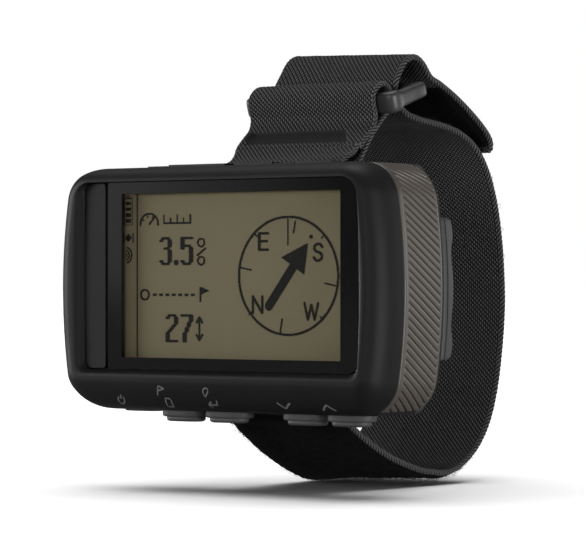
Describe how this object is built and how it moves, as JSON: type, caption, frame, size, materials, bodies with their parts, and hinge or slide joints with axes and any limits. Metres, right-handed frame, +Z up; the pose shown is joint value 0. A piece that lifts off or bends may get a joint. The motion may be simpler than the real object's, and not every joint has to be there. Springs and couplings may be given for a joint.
{
  "type": "handheld gps unit",
  "caption": "Rugged GPS unit worn on the wrist: a wide case with a display window, side-ribbed ends, bottom keys, a latched battery door and a hook-and-loop strap.",
  "frame": {"origin": "the middle of the wrist opening, 45 mm behind the glass and level with the middle of the case", "axes": "+X along the case towards the battery door, -Y the way the display faces, +Y through the strap loop, +Z up towards the strap's buckle ring"},
  "size_m": [0.072, 0.0722, 0.0797],
  "materials": {
    "case_black": "fine satin, dark charcoal",
    "seal": "matt",
    "lens": "clear, polished",
    "mask": "black print behind the glass",
    "plate": "matt black, blank",
    "lcd": "reflective olive-grey display",
    "light_guide": "white diffuser",
    "steel": "plain stamped",
    "board": "green solder mask",
    "ceramic": "unglazed",
    "brass_disc": "plain",
    "switch": "plain",
    "cell": "plain sleeve, no marks",
    "contact": "nickel plated",
    "grip": "warm grey, ribbed",
    "key_rubber": "matt dark grey",
    "screw": "black oxide",
    "bar": "plain",
    "latch": "dark grey",
    "ring": "moulded, dark grey",
    "webbing": "black woven tape with looped pile outside",
    "hook": "black hook tape"
  },
  "bodies": {
    "unit": {"front_bezel": "case_black", "case_gasket": "seal", "display_lens": "lens", "lens_mask": "mask", "lens_gasket": "seal", "name_plate": "plate", "lcd_panel": "lcd", "lcd_backlight": "light_guide", "lcd_frame": "steel", "main_board": "board", "gps_antenna": "ceramic", "beeper": "brass_disc", "rf_shield": "steel", "tact_switches": "switch", "keypad_mat": "seal", "battery_1": "cell", "battery_2": "cell", "battery_springs": "contact", "rear_case": "case_black", "left_grip": "grip", "key_collars": "key_rubber", "case_screws": "screw", "upper_lug_bar": "bar", "lower_lug_bar": "bar", "usb_socket": "steel", "usb_cap_pin": "bar", "door_hinge_pin": "bar", "latch_pin": "bar", "wrist_strap": "webbing"},
    "key_power": {"key_power": "key_rubber"},
    "key_page": {"key_page": "key_rubber"},
    "key_enter": {"key_enter": "key_rubber"},
    "key_down": {"key_down": "key_rubber"},
    "key_up": {"key_up": "key_rubber"},
    "battery_door": {"door_shell": "case_black", "door_grip": "grip", "door_gasket": "seal", "door_contact": "contact"},
    "door_latch": {"battery_latch": "latch"},
    "usb_cap": {"usb_cap": "key_rubber"},
    "short_strap": {"short_strap": "webbing"},
    "strap_ring": {"strap_ring": "ring"},
    "strap_tail": {"strap_tail": "webbing", "hook_patch": "hook"}
  },
  "joints": [
    {"name": "key_power_press", "type": "slide", "parent": "unit", "child": "key_power", "axis": [0, 0, 1], "range_m": [0, 0.0003], "stiffness_N_per_m": 3000},
    {"name": "key_page_press", "type": "slide", "parent": "unit", "child": "key_page", "axis": [0, 0, 1], "range_m": [0, 0.0005], "stiffness_N_per_m": 3000},
    {"name": "key_enter_press", "type": "slide", "parent": "unit", "child": "key_enter", "axis": [0, 0, 1], "range_m": [0, 0.0005], "stiffness_N_per_m": 3000},
    {"name": "key_down_press", "type": "slide", "parent": "unit", "child": "key_down", "axis": [0, 0, 1], "range_m": [0, 0.0005], "stiffness_N_per_m": 3000},
    {"name": "key_up_press", "type": "slide", "parent": "unit", "child": "key_up", "axis": [0, 0, 1], "range_m": [0, 0.0005], "stiffness_N_per_m": 3000},
    {"name": "battery_door_hinge", "type": "hinge", "parent": "unit", "child": "battery_door", "pos_m": [0.0294, -0.0325, -0.0203], "axis": [0, 1, 0], "range_deg": [0, 85]},
    {"name": "door_latch_lever", "type": "hinge", "parent": "unit", "child": "door_latch", "pos_m": [0.0312, -0.024, 0], "axis": [0, 0, 1], "range_deg": [0, 40]},
    {"name": "usb_cap_hinge", "type": "hinge", "parent": "unit", "child": "usb_cap", "pos_m": [-0.0278, -0.0231, 0], "axis": [0, 0, 1], "range_deg": [0, 100]},
    {"name": "short_strap_swing", "type": "hinge", "parent": "unit", "child": "short_strap", "pos_m": [0, -0.0247, 0.0196], "axis": [1, 0, 0], "range_deg": [-2.5, 2.5]},
    {"name": "ring_pivot", "type": "hinge", "parent": "short_strap", "child": "strap_ring", "pos_m": [0, -0.0137, 0.0334], "axis": [1, 0, 0], "range_deg": [-6.6, 6.6]},
    {"name": "tail_peel", "type": "hinge", "parent": "unit", "child": "strap_tail", "pos_m": [0, 0.0002, 0.0406], "axis": [1, 0, 0], "range_deg": [0, 100]}
  ],
  "couplings": [
    {"joint": "ring_pivot", "follows": "short_strap_swing", "ratio": -2.6}
  ]
}
